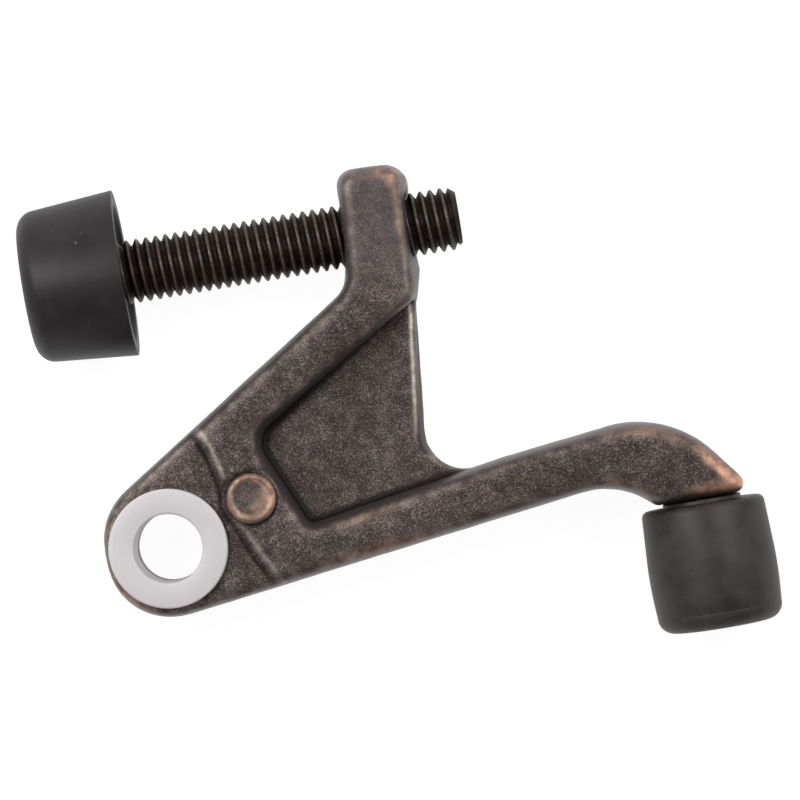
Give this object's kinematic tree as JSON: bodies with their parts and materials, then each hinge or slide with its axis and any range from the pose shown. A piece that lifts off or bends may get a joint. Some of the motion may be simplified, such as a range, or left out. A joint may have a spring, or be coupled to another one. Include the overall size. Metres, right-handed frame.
{
  "type": "hinge-pin door stop",
  "caption": "Hinge-pin door stop: a cast arm with a bushed eye, a round bumper on an adjusting screw, and a smaller rubber bumper on the curved fixed arm.",
  "frame": {"origin": "on the hinge-pin axis, halfway through the thickness of the casting", "axes": "+Z along the hinge pin towards the bush's flange, +X along the adjusting screw from the large bumper to the boss, +Y from the pin up to the screw"},
  "size_m": [0.0879, 0.0667, 0.021],
  "materials": {
    "bronzed_casting": "tumbled dark bronze with copper wear on raised edges",
    "white_nylon": "moulded, slightly translucent",
    "blackened_steel": "black oxide, rolled thread",
    "black_vinyl": "moulded satin",
    "dark_rubber": "moulded matte"
  },
  "bodies": {
    "arm": {"arm_casting": "bronzed_casting", "pin_bush": "white_nylon", "tip_bumper": "dark_rubber"},
    "bumper": {"door_bumper": "black_vinyl"},
    "screw": {"adjusting_screw": "blackened_steel"}
  },
  "joints": [
    {"name": "screw_travel", "type": "slide", "parent": "arm", "child": "bumper", "axis": [1, 0, 0], "range_m": [-0.009, 0.02]},
    {"name": "screw_turn", "type": "hinge", "parent": "bumper", "child": "screw", "pos_m": [0, 0.035, 0], "axis": [1, 0, 0], "range_deg": [-2600, 5770]}
  ],
  "couplings": [
    {"joint": "screw_turn", "follows": "screw_travel", "rad_per_m": 5026.5}
  ]
}
